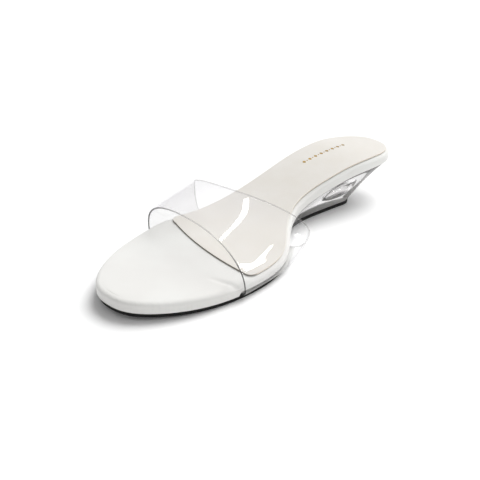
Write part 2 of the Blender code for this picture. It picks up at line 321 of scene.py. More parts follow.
# %% [markdown]
# ## Helpers for materials
#
# A colour is picked as sRGB, the way a colour chart gives it, but light adds up linearly,
# so one function turns the hex value to linear numbers. A second one adds a node with its
# settings and links, and a third makes a material from a function that builds its shader.
# That function is then a few calls that can be read in order, from the pattern to the shader.

# %% Material helpers
COLOURS = {"data_type": "RGBA"}


def colour(code):
    """Linear colour of an sRGB hex value: c / 12.92 up to 0.04045, else ((c + 0.055) / 1.055)^2.4."""
    channels = np.array([int(code[i:i + 2], 16) for i in (1, 3, 5)]) / 255
    linear = np.where(channels <= 0.04045, channels / 12.92, ((channels + 0.055) / 1.055) ** 2.4)
    return (*linear.tolist(), 1.0)


def add_node(owner, kind, settings=None, out=0, **inputs):
    """Add a shader node, set its properties, fill its inputs and give one of its outputs. An
    input is a value, a hex colour or an output to link. Its name has underscores for spaces,
    or is i and a number."""
    tree = owner.node_tree
    node = tree.nodes.new("ShaderNode" + kind)
    for name, value in (settings or {}).items():
        setattr(node, name, value)
    for name, value in inputs.items():
        socket = node.inputs[int(name[1:]) if name[1:].isdigit() else name.replace("_", " ")]
        if isinstance(value, bpy.types.NodeSocket):
            tree.links.new(value, socket)
        else:
            socket.default_value = colour(value) if isinstance(value, str) else value
    return node.outputs[out] if len(node.outputs) else node


def new_material(name, surface, *values):
    """Material whose surface is the shader that the function surface builds. That function
    is given add, which is add_node for this material, and the values."""
    material = bpy.data.materials.new(name)
    material.use_nodes = True
    material.node_tree.nodes.clear()
    add = partial(add_node, material)
    add("OutputMaterial", Surface=surface(add, *values))
    print("material", name)
    return material


# %% [markdown]
# ## Leather
#
# The board is wrapped in smooth off-white nappa: chrome-tanned leather with a thin coat of
# pigment. The coat gives a soft, broad sheen, and the grain under it is a net of fine
# pebbles about half a millimetre wide. Three sizes of bump do this. A slow noise stands for
# the way that a skin pulls over padding, a noise drawn out upwards for the small pleats where
# the leather is gathered round the toe, and cells for the pebbles. The pebbles are drawn
# 0.9 mm wide, a little coarse, so that they show at the size of the picture.

# %% Material: off-white nappa leather
def nappa_leather(add):
    place = add("TexCoord", out="Object")
    # Clouds of tone 30 mm wide, as every hide has them
    cloud = add("TexNoise", Vector=place, Scale=1 / (30 * MM), Detail=2.0)
    tone = add("MapRange", Value=cloud, From_Min=0.35, From_Max=0.65)
    base = add("Mix", COLOURS, 2, i0=tone, i6="#DFDFDC", i7="#DBDAD7")
    # The pull of the skin over its padding, in waves 14 mm wide, which also vary the sheen
    pull = add("TexNoise", Vector=place, Scale=1 / (14 * MM), Detail=3.0, Roughness=0.45)
    rough = add("MapRange", Value=pull, From_Min=0.3, From_Max=0.7, To_Min=0.36, To_Max=0.46)
    slow = add("Bump", Strength=0.25, Distance=0.25 * MM, Height=pull)
    # Pleats 2.2 mm wide and eight times as tall, only where the mesh says so
    upright = add("Mapping", Vector=place, Scale=(1, 1, 0.12))
    pleat = add("TexNoise", Vector=upright, Scale=1 / (2.2 * MM), Detail=2.0)
    on_wall = add("Attribute", {"attribute_name": "pleated"}, "Fac")
    pleat = add("Math", {"operation": "MULTIPLY"}, i0=pleat, i1=on_wall)
    gathered = add("Bump", Strength=0.8, Distance=0.55 * MM, Height=pleat, Normal=slow)
    # The pebbles of the grain
    pebble = add("TexVoronoi", {"feature": "SMOOTH_F1"}, Vector=place, Scale=1 / (0.9 * MM),
                 Smoothness=0.6)
    fine = add("Bump", Strength=0.16, Distance=0.08 * MM, Height=pebble, Normal=gathered)
    return add("BsdfPrincipled", Base_Color=base, Roughness=rough, IOR=1.5, Coat_Weight=0.12,
               Coat_Roughness=0.3, Normal=fine)


leather = new_material("off_white_nappa_leather", nappa_leather)

# %% [markdown]
# ## Where the strap turns under the footbed
#
# The strap's tails are lasted under the board, so the board leaves room for them. That room
# has to follow the strap's own edges, or it would show as a notch beside the strap. So the
# strap's table comes first. Its rows are the front edge, the middle and the rear edge. The
# columns give where its ends lie along the shoe, how far they stand off the rim, how high it
# is widest, where its crown is, and how full its line is, for the far and the near side.

# %% Strap: its table and the room for its tails
STRAP_WALL = 1.1 * MM
STRAP_EASE = 0.4 * MM
ROOM_SPARE, ROOM_SOFT = 0.5 * MM, 1.5 * MM
SIDE_NAMES = {NEAR: "near", FAR: "far"}
STRAP = table(
    "row far_end near_end far_off near_off far_wide near_wide crown far_power near_power",
    (0.0, 0.269, 0.244, 0.003, 0.008, 0.28, 0.11, 0.055, 2.50, 2.15),
    (0.5, 0.351, 0.362, 0.010, 0.015, 0.55, 0.21, 0.024, 3.20, 2.16),
    (1.0, 0.434, 0.480, 0.058, 0.149, 0.82, 0.57, -0.011, 4.20, 2.11),
)


def strap_row(row):
    """Every column of the strap's table at one row, on a smooth curve through the three."""
    return {name: float(smooth_curve(STRAP["row"], values, row)) for name, values in STRAP.items()}


def rim_x(y, side):
    """Where the footbed's rim stands across the shoe at y."""
    edge = rim_point(np.linspace(0, LENGTH, LOOKUPS), side, FOOTBED_PLAN)
    return np.interp(y, edge[:, 1], edge[:, 0])


def widest(at, side):
    """x and y of the strap's widest place on one side: the rim, the wall and the stand-off."""
    y = at[SIDE_NAMES[side] + "_end"] * LENGTH
    off = JOINT_GAP + STRAP_WALL + STRAP_EASE + at[SIDE_NAMES[side] + "_off"] * BALL_WIDTH
    return np.array([rim_x(y, side) + side * off, y])


STRAP_EDGES = [np.array([widest(strap_row(row), side) for side in (FAR, NEAR)]).T for row in (0.0, 1.0)]


def beside_strap(flat):
    """1 between the lines of the strap's two edges, with soft ends. Each line runs straight
    from the far to the near end of its row."""
    front, rear = [np.interp(flat[..., 0], *edge) for edge in STRAP_EDGES]
    return (smooth_step(front - ROOM_SPARE - ROOM_SOFT, front - ROOM_SPARE, flat[..., 1])
            * (1 - smooth_step(rear + ROOM_SPARE, rear + ROOM_SPARE + ROOM_SOFT, flat[..., 1])))


print("Strap's edges, far and near, mm:", [np.round(edge[1] / MM, 1).tolist() for edge in STRAP_EDGES])

# %% [markdown]
# ## The footbed
#
# The real footbed is a shaped board with a few millimetres of foam, and the leather is pulled
# over it and glued below. So its edge is round and a little full above, and tight below.
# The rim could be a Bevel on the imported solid, but the strap needs room under the board, and
# its pull leaves a pucker in the cover. A stack of rings can hold all of these: each ring
# says how far in from the rim it lies, how far down, and how that changes beside the strap.

# %% Footbed: sizes
RIM_TOP_RADIUS = 3.0 * MM
RIM_BOTTOM_RADIUS = 1.0 * MM
RIM_POWER = 2.25
RIM_TOP_STEPS, RIM_BOTTOM_STEPS = 14, 7
STRAP_ROOM = 1.5 * MM
STRAP_ROOM_DEPTH, STRAP_ROOM_FADE = 13 * MM, 2 * MM
STRAP_ROOM_RADIUS = {NEAR: 2.0 * MM, FAR: 3.8 * MM}
FOOTBED_STATIONS = 250
FOOTBED_UNDER, FOOTBED_OVER = 33, 41
PAD_CROWN, PAD_SOFT = 0.35 * MM, 5 * MM
PUCKER_PLACE = np.array([53.0, 58.5]) * MM
PUCKER_DEPTH, PUCKER_REACH = 2.2 * MM, 4.6 * MM
RIDGE_HEIGHT, RIDGE_AWAY, RIDGE_WIDTH = 0.3 * MM, 8.5 * MM, 2.5 * MM
CREASES_MM = table(
    "start_x start_y end_x end_y width depth",
    (53.0, 58.5, 32.0, 51.0, 1.5, 0.8),
    (51.5, 59.5, 47.0, 44.0, 1.5, 0.5),
)
PLEAT_FADE = 12 * MM, 45 * MM
PLEAT_WALL = -1.5 * MM, 0.2 * MM


# %% Footbed: the relief of its cover and the line of its rim
def crease(points, start_x, start_y, end_x, end_y, width, depth):
    """Soft groove along a straight run: depth times a bell across it, and a half wave along
    it that is deepest one third of the way from its start."""
    run = np.array([end_x - start_x, end_y - start_y])
    length = np.linalg.norm(run)
    run = run / length
    offset = points - np.array([start_x, start_y])
    along = offset @ run / length
    across = offset[..., 0] * -run[1] + offset[..., 1] * run[0]
    wave = np.where((along > 0) & (along < 1), np.sin(np.pi * np.clip(along, 0, 1) ** 0.63), 0)
    return -depth * wave * np.exp(-(across / width) ** 2)


def cover_relief(points):
    """What the strap's pull does beside its near front corner: the creases, a pinch that is a
    bell round its place, and a low ridge that is a bell round a circle."""
    away = np.linalg.norm(points - PUCKER_PLACE, axis=-1)
    creases = sum(crease(points, *np.array(row) * MM) for row in zip(*CREASES_MM.values()))
    return (creases - PUCKER_DEPTH * np.exp(-(away / PUCKER_REACH) ** 2)
            + RIDGE_HEIGHT * np.exp(-((away - RIDGE_AWAY) / RIDGE_WIDTH) ** 2))


def footbed_rim(y, side):
    """Insets and depths of the rim's levels, as arrays of levels by stations. Below it is a
    quarter circle, wider and higher beside the strap. Above it is a quarter superellipse."""
    press = beside_strap(rim_point(y, side, FOOTBED_PLAN))[None, :]
    angle = np.linspace(0, np.pi / 2, RIM_BOTTOM_STEPS)[:, None]
    radius = RIM_BOTTOM_RADIUS + (STRAP_ROOM_RADIUS[side] - RIM_BOTTOM_RADIUS) * press
    low_inset = radius * (1 - np.sin(angle))
    low_depth = STRAP_ROOM * press + radius * (1 - np.cos(angle)) - FOOTBED_THICKNESS
    angle = np.linspace(0, np.pi / 2, RIM_TOP_STEPS)[:, None] + 0 * press
    top_inset = RIM_TOP_RADIUS * (1 - np.cos(angle) ** (2 / RIM_POWER))
    top_depth = RIM_TOP_RADIUS * (np.sin(angle) ** (2 / RIM_POWER) - 1)
    return np.concatenate([low_inset, top_inset]), np.concatenate([low_depth, top_depth])


# %% Footbed: shape
def make_footbed():
    """Rings from the middle of the underside, round the rim, to the middle of the top. A ring
    on a face lies between the rim and the middle line by its share."""
    y = stations(0, FOOTBED_PLAN, FOOTBED_STATIONS)
    levels = RIM_BOTTOM_STEPS + RIM_TOP_STEPS
    times = np.array([1 + FOOTBED_UNDER] + [1] * (levels - 2) + [1 + FOOTBED_OVER])
    share = np.concatenate([towards_rim(FOOTBED_UNDER), np.zeros(levels), towards_rim(FOOTBED_OVER)[::-1]])
    on_under = np.arange(len(share))[:, None] < FOOTBED_UNDER
    rims, depths = {}, {}
    for side in (NEAR, FAR):
        inset, depths[side] = [np.repeat(rows, times, axis=0) for rows in footbed_rim(y, side)]
        rims[side] = rim_outline(y, side, FOOTBED_PLAN, inset)
    middle = (rims[NEAR] + rims[FAR]) / 2
    sides = []
    for side in (NEAR, FAR):
        reach = np.linalg.norm(middle - rims[side], axis=-1) * share[:, None]
        flat = rims[side] + (middle - rims[side]) * share[:, None, None]
        inwards = reach + STRAP_ROOM_RADIUS[side]
        filled = smooth_step(STRAP_ROOM_DEPTH - STRAP_ROOM_FADE, STRAP_ROOM_DEPTH, inwards)
        room = STRAP_ROOM * beside_strap(flat) * (1 - filled)
        depth = np.where(on_under, room - FOOTBED_THICKNESS, depths[side])
        crown = PAD_CROWN * (1 - np.exp(-reach / PAD_SOFT))
        relief = smooth_step(-RIM_TOP_RADIUS, 0, depth) * (cover_relief(flat) + crown - PAD_CROWN)
        sides.append(np.dstack([flat, footbed_top(flat[..., 1]) + depth + relief]))
    rings = np.concatenate([sides[0], sides[1][:, ::-1]], axis=1)
    piece = put_rings("footbed_cover", rings, [leather])
    x, y, z = piece_points(piece)
    on_wall = 1 - smooth_step(*PLEAT_WALL, z - footbed_top(y))
    give_tone(piece, "pleated", (1 - smooth_step(*PLEAT_FADE, y)) * on_wall)
    return piece


footbed = make_footbed()
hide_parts("footbed")
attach(footbed, "root")

# %% [markdown]
# ## Suede
#
# The sock is a warm off-white suede. Its nap scatters light, so it is rough with a little
# sheen, and the fibres lie in patches that look lighter or darker. The cut edge shows the
# flesh of the skin, and near the front some dark glue in broken stretches. The nap's fibres
# are finer than the picture shows, so they are drawn as a noise of 0.5 mm.

# %% Materials: suede, and its cut edge
def suede(add):
    place = add("TexCoord", out="Object")
    # Brushed patches 22 mm wide
    patch = add("TexNoise", Vector=place, Scale=1 / (22 * MM), Detail=4.0, Roughness=0.6)
    tone = add("MapRange", Value=patch, From_Min=0.35, From_Max=0.68)
    ground = add("Mix", COLOURS, 2, i0=tone, i6="#E2DFDA", i7="#DEDAD3")
    # Single fibres of the nap
    nap = add("TexNoise", Vector=place, Scale=1 / (0.5 * MM), Detail=3.0, Roughness=0.6)
    speck = add("MapRange", Value=nap, From_Min=0.35, From_Max=0.65, To_Max=0.25)
    base = add("Mix", COLOURS, 2, i0=speck, i6=ground, i7="#D6D1C8")
    bump = add("Bump", Strength=0.35, Distance=0.12 * MM, Height=nap)
    return add("BsdfPrincipled", Base_Color=base, Roughness=0.88, IOR=1.45, Sheen_Weight=0.25,
               Sheen_Roughness=0.5, Normal=bump)


def cut_suede(add):
    place = add("TexCoord", out="Object")
    # Loose fibre of the cut, 1.2 mm
    fibre = add("TexNoise", Vector=place, Scale=1 / (1.2 * MM), Detail=4.0, Roughness=0.7)
    share = add("MapRange", Value=fibre, From_Min=0.35, From_Max=0.65)
    bare = add("Mix", COLOURS, 2, i0=share, i6="#EFE6D8", i7="#DED0BC")
    dark = add("Mix", COLOURS, 2, i0=share, i6="#857A6C", i7="#6A6056")
    # The glue's dark stretches, broken by a noise of 2.5 mm
    tone = add("Attribute", {"attribute_name": "edge_tone"}, "Fac")
    broken = add("TexNoise", Vector=place, Scale=1 / (2.5 * MM), Detail=1.0)
    glued = add("Math", {"operation": "ADD"}, i0=tone, i1=broken)
    glued = add("MapRange", Value=glued, From_Min=0.85, From_Max=1.1)
    base = add("Mix", COLOURS, 2, i0=glued, i6=bare, i7=dark)
    bump = add("Bump", Strength=0.5, Distance=0.15 * MM, Height=fibre)
    return add("BsdfPrincipled", Base_Color=base, Roughness=0.92, Normal=bump)


suede_top = new_material("beige_suede", suede)
suede_edge = new_material("cut_suede_edge", cut_suede)

# %% [markdown]
# ## The sock
#
# The sock is one thin sheet, cut along the rim with a margin, and with a bowed front edge
# behind the toes. A Boolean could cut it from the footbed, but then its edge would follow
# the mesh and not the knife. Here its outline is worked out first: the rim moved inwards, a
# rounded corner at each side, and the bow between them. It is then raised on the footbed.

# %% Sock: sizes and outline
SOCK_THICKNESS = 0.8 * MM
SOCK_LIFT = 0.5 * JOINT_GAP
SOCK_INSET = 2.3 * MM
SOCK_START = {NEAR: 74 * MM, FAR: 87 * MM}
SOCK_FRONT = {NEAR: 67.5 * MM, FAR: 81.5 * MM}
SOCK_CORNER_X = {NEAR: 42 * MM, FAR: -38 * MM}
SOCK_BOW = 3.2 * MM
SOCK_CORNER = 7 * MM
SOCK_SIDE_STATIONS = 190
SOCK_FRONT_STEPS = 34
SOCK_CORNER_STEPS = 8


def station_at(y, side):
    """Station whose rim point lies at the distance y from the toe."""
    places = np.linspace(0, LENGTH, LOOKUPS)
    return np.interp(y, rim_point(places, side, FOOTBED_PLAN)[:, 1], places)


def front_half(first, front, centre):
    """Half of the front edge. It is a straight run with a parabolic bow, and its corner is a
    quadratic Bezier curve, (1-t)^2 a + 2t(1-t) b + t^2 c."""
    corner = np.array([first[0], front])
    edge_end = corner + (centre - corner) * SOCK_CORNER / np.linalg.norm(centre - corner)
    share = np.linspace(0, 1, SOCK_FRONT_STEPS)[1:, None]
    edge = centre + (edge_end - centre) * share
    edge[:, 1] -= SOCK_BOW * (1 - share[:, 0] ** 2)
    turn = np.linspace(0, 1, SOCK_CORNER_STEPS + 2)[1:-1, None]
    bend = (1 - turn) ** 2 * edge_end + 2 * turn * (1 - turn) * corner + turn**2 * first
    return np.concatenate([edge, bend])


def sock_halves(inset):
    """Near and far half of the outline, each from the front's middle to the heel, moved
    inwards by inset square to the line."""
    sides = []
    for side in (NEAR, FAR):
        y = stations(station_at(SOCK_START[side], side), FOOTBED_PLAN, SOCK_SIDE_STATIONS)
        sides.append(rim_outline(y, side, FOOTBED_PLAN, SOCK_INSET))
    centre = np.array([(sides[0][0, 0] + sides[1][0, 0]) / 2, sum(SOCK_FRONT.values()) / 2])
    near, far = [np.concatenate([front_half(edge[0], front, centre), edge])
                 for edge, front in zip(sides, SOCK_FRONT.values())]
    outline = np.concatenate([near, far[::-1]])
    run = np.roll(outline, -1, axis=0) - np.roll(outline, 1, axis=0)
    run = run / np.linalg.norm(run, axis=1, keepdims=True)
    outline = outline + inset * np.stack([-run[:, 1], run[:, 0]], axis=1)
    return outline[:len(near)], outline[len(near):][::-1]


# %% Sock: shape
SOCK_UNDER, SOCK_OVER = 7, 37
SOCK_EDGE_HEIGHT = 0.45 * MM
SOCK_ROUND = 0.25 * MM
DARK_SHARE, DARK_FADE = 0.85, (1 * MM, 9 * MM)


def make_sock():
    """Rings from the middle of the underside, up the cut edge, over a small round, to the
    middle of the top, all raised from the footbed's own top."""
    angle = np.linspace(0, np.pi / 2, 5)
    insets = np.concatenate([[0.0, 0.0], SOCK_ROUND * (1 - np.cos(angle))])
    heights = np.concatenate([[0.0, SOCK_EDGE_HEIGHT], SOCK_THICKNESS - SOCK_ROUND * (1 - np.sin(angle))])
    shares = np.concatenate([towards_rim(SOCK_UNDER), 0 * insets, towards_rim(SOCK_OVER)[::-1]])
    insets = np.pad(insets, (SOCK_UNDER, SOCK_OVER), mode="edge")
    heights = np.pad(heights, (SOCK_UNDER, SOCK_OVER), mode="edge")
    rings = []
    for inset, height, share in zip(insets, heights, shares):
        flat = close_ring(*sock_halves(inset), share)
        rings.append(np.column_stack([flat, footbed_top(flat[:, 1]) + SOCK_LIFT + height]))
    rings = np.array(rings)
    piece = put_rings("suede_sock", rings, [suede_top, suede_edge], sharp_angle=50)
    row = np.arange(len(rings) - 1)
    is_edge = (row >= SOCK_UNDER) & (row < SOCK_UNDER + 2)
    give_materials(piece, np.repeat(is_edge, rings.shape[1]))
    x, y, z = piece_points(piece)
    across = smooth_step(SOCK_CORNER_X[FAR], SOCK_CORNER_X[NEAR], x)
    behind = y - (SOCK_FRONT[FAR] + (SOCK_FRONT[NEAR] - SOCK_FRONT[FAR]) * across)
    give_tone(piece, "edge_tone", 1 - DARK_SHARE * smooth_step(*DARK_FADE, behind))
    return piece


sock = make_sock()
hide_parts("sock_liner")
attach(sock, "root")

# %% [markdown]
# ## Foil marks
#
# A row of gold foil marks lies along the sock at the heel, where such a shoe is usually
# stamped. Here they are plain lozenges with dots between them. Foil is pressed into the
# nap, so each mark is a thin plate sunk into the suede. They are one mesh, because they are
# one printing. Foil is metal with a fine crackle, which wears its gloss in spots of 0.8 mm.

# %% Foil: material, sizes and shape
FOIL_START, FOIL_END = np.array([-12.2, 182.5]) * MM, np.array([-6.0, 218.1]) * MM
FOIL_MARKS = 15
FOIL_CORNERS = 8
FOIL_LOZENGE = np.array([1.25, 1.75]) * MM
FOIL_DOT = np.array([0.55, 0.55]) * MM
FOIL_RAISE, FOIL_SUNK = 0.04 * MM, 0.1 * MM


def gold_foil(add):
    place = add("TexCoord", out="Object")
    worn = add("TexNoise", Vector=place, Scale=1 / (0.8 * MM), Detail=2.0)
    tone = add("MapRange", Value=worn, From_Min=0.4, From_Max=0.65)
    base = add("Mix", COLOURS, 2, i0=tone, i6="#AD8E42", i7="#8F7434")
    rough = add("MapRange", Value=worn, From_Min=0.3, From_Max=0.7, To_Min=0.3, To_Max=0.5)
    return add("BsdfPrincipled", Base_Color=base, Metallic=0.9, Roughness=rough)


def make_foil():
    """Each mark is an eight-sided plate. A lozenge has its odd corners halfway between the
    even ones, and a dot has them on a circle."""
    run = (FOIL_END - FOIL_START) / np.linalg.norm(FOIL_END - FOIL_START)
    square = np.array([-run[1], run[0]])
    centres = FOIL_START + (FOIL_END - FOIL_START) * np.linspace(0, 1, FOIL_MARKS)[:, None]
    corner = np.arange(FOIL_CORNERS)
    turn = 2 * np.pi * corner / FOIL_CORNERS
    is_dot = (np.arange(FOIL_MARKS) % 2 == 1)[:, None]
    reach = np.where(is_dot | (corner % 2 == 0), 1.0, np.sqrt(0.5))
    sizes = np.where(is_dot, FOIL_DOT, FOIL_LOZENGE)
    along = reach * np.cos(turn) * sizes[:, :1]
    across = reach * np.sin(turn) * sizes[:, 1:]
    flat = centres[:, None] + along[..., None] * run + across[..., None] * square
    level = footbed_top(flat[..., 1]) + SOCK_LIFT + SOCK_THICKNESS
    plates = [np.dstack([flat, level + raised]) for raised in (-FOIL_SUNK, FOIL_RAISE)]
    points = np.concatenate(plates, axis=1).reshape(-1, 3)
    low, high = corner, corner + FOIL_CORNERS
    walls = np.column_stack([low, np.roll(low, -1), np.roll(high, -1), high])
    plate = [tuple(low[::-1].tolist()), tuple(high.tolist())] + [tuple(wall) for wall in walls.tolist()]
    starts = range(0, len(points), 2 * FOIL_CORNERS)
    faces = [tuple(start + corner for corner in face) for start in starts for face in plate]
    return put_piece("gold_foil_marks", points, faces, [gold], sharp_angle=30)


gold = new_material("gold_foil", gold_foil)
foil = make_foil()
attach(foil, "root")

# %% [markdown]
# ## Rubber, and the outsole
#
# The sole is a sheet of black rubber, cut to shape with a small chamfer, and matt from its
# mould, with a grit of 0.6 mm. Fine ribs below give it grip. They are real steps in the mesh,
# because a shoe is often looked at from below, and ribs in the material alone would have no
# edge there.

# %% Material: black sheet rubber
def sheet_rubber(add):
    place = add("TexCoord", out="Object")
    grit = add("TexNoise", Vector=place, Scale=1 / (0.6 * MM), Detail=3.0)
    tone = add("MapRange", Value=grit, From_Min=0.4, From_Max=0.7)
    base = add("Mix", COLOURS, 2, i0=tone, i6="#0B0B0B", i7="#111111")
    bump = add("Bump", Strength=0.3, Distance=0.06 * MM, Height=grit)
    return add("BsdfPrincipled", Base_Color=base, Roughness=0.62, IOR=1.3, Normal=bump)


rubber = new_material("black_sheet_rubber", sheet_rubber)

# %% Outsole: shape
OUTSOLE_CHAMFER = 0.5 * MM
OUTSOLE_STATIONS = 360
OUTSOLE_UNDER, OUTSOLE_OVER = 45, 5
OUTSOLE_EDGE = table(
    "inset height",
    (1.0, 0.0),
    (0.25, 0.2),
    (0.0, 1.0),
    (0.0, 2.2),
    (0.0, 4.1),
    (0.3, 4.4),
)
RIB_PITCH, RIB_DEPTH = 4.0 * MM, 0.35 * MM
RIB_WAVE, RIB_WAVE_WIDTH = 1.5 * MM, 6 * MM
RIB_STEEPNESS = 3.0
TREAD_MARGIN, TREAD_FADE = 6 * MM, 1 * MM


def tread(points, reach):
    """Depth of the ribs: a rounded square wave across the sole, inside a plain margin. The
    square wave is the hyperbolic tangent of a sine, and each rib waves as a slower sine."""
    y = points[..., 1] + RIB_WAVE * np.sin(points[..., 0] / RIB_WAVE_WIDTH)
    square = np.tanh(RIB_STEEPNESS * np.sin(2 * np.pi * y / RIB_PITCH)) / np.tanh(RIB_STEEPNESS)
    inside = smooth_step(TREAD_MARGIN - TREAD_FADE, TREAD_MARGIN, reach)
    return RIB_DEPTH * inside * (0.5 + 0.5 * square)


def make_outsole():
    """Rings from the middle of the ribbed underside, over the chamfer, up the edge and
    across the flat top. The edge's table is in chamfers."""
    y = stations(0, OUTSOLE_PLAN, OUTSOLE_STATIONS)
    ends = (OUTSOLE_UNDER, OUTSOLE_OVER)
    insets = np.pad(OUTSOLE_EDGE["inset"] * OUTSOLE_CHAMFER, ends, mode="edge")
    heights = np.pad(OUTSOLE_EDGE["height"] * OUTSOLE_CHAMFER, ends, mode="edge")
    at_rim = 0 * OUTSOLE_EDGE["inset"]
    shares = np.concatenate([towards_rim(OUTSOLE_UNDER), at_rim, towards_rim(OUTSOLE_OVER)[::-1]])
    rings = []
    for level, (inset, height, share) in enumerate(zip(insets, heights, shares)):
        near, far = [rim_outline(y, side, OUTSOLE_PLAN, inset) for side in (NEAR, FAR)]
        flat = close_ring(near, far, share)
        reach = np.linalg.norm(far - near, axis=-1) / 2 * share
        rib = tread(flat, np.concatenate([reach, reach[::-1]])) if level < OUTSOLE_UNDER else 0.0
        rings.append(np.column_stack([flat, toe_lift(flat[:, 1]) + height + rib]))
    return put_rings("rubber_outsole", np.array(rings), [rubber], sharp_angle=40)


outsole = make_outsole()
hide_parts("outsole")
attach(outsole, "root")

# %% [markdown]
# ## Clear vinyl
#
# The strap is cut from extruded clear PVC sheet. It is so thin that it bends light hardly
# at all, so it is drawn as a tinted transparent surface with a gloss on it. The gloss follows
# Schlick's rule: 4% seen square on, and more the flatter the view, with the fifth power.
# The facing value of Layer Weight is the same from both sides of the sheet, as the rule
# needs. Where the view is flat, the way through the sheet is long, and the tint is deeper.
# The foot of the strap is sanded for the glue, which makes it milky.
#
# The cut edges are painted dark grey: a painted shade for the dark that the sheet's edges show as they
# bend light away.

# %% Materials: clear vinyl sheet, and its cut edge with painted shade
def clear_sheet(add):
    facing = add("LayerWeight", out="Facing", Blend=0.5)
    fifth = add("Math", {"operation": "POWER"}, i0=facing, i1=5.0)
    gloss = add("MapRange", Value=fifth, To_Min=0.04, To_Max=0.6)
    depth = add("Math", {"operation": "POWER"}, i0=facing, i1=2.5)
    # Painted shade: the attribute greys the far side, for its reflection at a grazing view
    share = add("Attribute", {"attribute_name": "tint"}, "Fac")
    tint = add("Mix", COLOURS, 2, i0=share, i6="#FFFFFF", i7="#F8F8F8")
    tint = add("Mix", COLOURS, 2, i0=depth, i6=tint, i7="#F2F1F3")
    through = add("BsdfTransparent", Color=tint)
    shine = add("BsdfGlossy", Color="#FFFFFF", Roughness=0.03)
    clear = add("MixShader", i0=gloss, i1=through, i2=shine)
    sanded = add("Attribute", {"attribute_name": "sanded"}, "Fac")
    milky = add("BsdfPrincipled", Base_Color="#E9E9E6", Roughness=0.4)
    return add("MixShader", i0=sanded, i1=clear, i2=milky)


def cut_sheet_painted_shade(add):
    # Painted shade: the edge's grey colour stands in for the dark that its refraction shows
    tone = add("Attribute", {"attribute_name": "edge_tone"}, "Fac")
    base = add("Mix", COLOURS, 2, i0=tone, i6="#C9C7C5", i7="#4A494B")
    solid = add("BsdfPrincipled", Base_Color=base, Roughness=0.25, IOR=1.5)
    through = add("BsdfTransparent", Color="#F3F3F3")
    share = add("MapRange", Value=tone, To_Min=0.3, To_Max=0.85)
    return add("MixShader", i0=share, i1=through, i2=solid)


vinyl = new_material("clear_vinyl_sheet", clear_sheet)
vinyl_edge = new_material("cut_vinyl_edge_painted_shade", cut_sheet_painted_shade)

# %% [markdown]
# ## The strap
#
# A shoemaker cuts the strap flat, bends it over the last and glues its tails under the
# board. Its line across the foot is a quarter of a superellipse from its widest line up to
# the crown on each side, and a smaller quarter from there down to the tail. Rows between the
# three of its table follow smooth curves. The wall could be a Solidify modifier, but its cut
# edges are softly rounded, so the wall is laid inside this surface, square to it, and thins
# to a small round at both edges.

# %% Strap: sizes
STRAP_HEIGHT = 21.4 * MM
CROWN_HEIGHT = outsole_top(LENGTH / 2) + JOINT_GAP + FOOTBED_THICKNESS + STRAP_HEIGHT
STRAP_TURN = 2.6 * MM
STRAP_TAIL, STRAP_TAIL_STEPS = 9 * MM, 8
STRAP_TURN_POWER = 2.2
STRAP_TUCK = 1.5 * MM
STRAP_EDGE_ROUND = 0.3 * MM
STRAP_EDGE_STEPS = np.array([0.0, 0.08, 0.3, 0.6, 1.0])
STRAP_ROWS = 52
STRAP_UPPER_STEPS = 70
STRAP_LOWER_STEPS = 30


def even_steps(line, count):
    """Points at equal distances along a polyline."""
    travel = np.concatenate([[0.0], np.cumsum(np.linalg.norm(np.diff(line, axis=0), axis=1))])
    at = np.linspace(0, travel[-1], count)
    return np.column_stack([np.interp(at, travel, line[:, k]) for k in range(line.shape[1])])


def quarter(start, end, power, count):
    """Quarter superellipse that leaves start upright and reaches end level: cos^(2/p) across
    and sin^(2/p) up, then spaced evenly."""
    turn = np.linspace(0, np.pi / 2, 400)
    x = end[0] + (start[0] - end[0]) * np.abs(np.cos(turn)) ** (2 / power)
    z = start[1] + (end[1] - start[1]) * np.sin(turn) ** (2 / power)
    return even_steps(np.column_stack([x, z]), count)


# %% Strap: its line across the foot
def strap_line(row):
    """Outer line at one row, from the far tail over the crown to the near tail. It lies in
    an upright plane between its two widest places, and its tails follow the underside."""
    at = strap_row(row)
    crown = np.array([at["crown"] * BALL_WIDTH, CROWN_HEIGHT])
    halves, wide_x, wide_y = {}, {}, {}
    for side, name in SIDE_NAMES.items():
        wide_x[side], wide_y[side] = widest(at, side)
        under = footbed_underside(wide_y[side])
        wide = np.array([wide_x[side], under + at[name + "_wide"] * (crown[1] - under)])
        turn = np.array([rim_x(wide_y[side], side) - side * STRAP_TURN, under])
        tail = np.linspace(turn - np.array([side * STRAP_TAIL, 0]), turn, STRAP_TAIL_STEPS + 1)[:-1]
        upper = quarter(wide, crown, at[name + "_power"], STRAP_UPPER_STEPS)
        lower = quarter(wide, turn, STRAP_TURN_POWER, STRAP_LOWER_STEPS)
        halves[side] = np.concatenate([tail, lower[::-1], upper[1:]])
    x, z = np.concatenate([halves[FAR], halves[NEAR][::-1][1:]]).T
    share = (x - wide_x[FAR]) / (wide_x[NEAR] - wide_x[FAR])
    y = wide_y[FAR] + (wide_y[NEAR] - wide_y[FAR]) * share
    under = footbed_underside(np.where(share < 0.5, wide_y[FAR], wide_y[NEAR]))
    tucked = 1 - smooth_step(0, STRAP_TUCK, z - under)
    return np.column_stack([x, y, z + tucked * (footbed_underside(y) - under)])


def unit_normals(grid):
    """Cross product of the two directions of a grid, made one long."""
    normal = np.cross(np.gradient(grid, axis=0), np.gradient(grid, axis=1))
    return normal / np.linalg.norm(normal, axis=-1, keepdims=True)


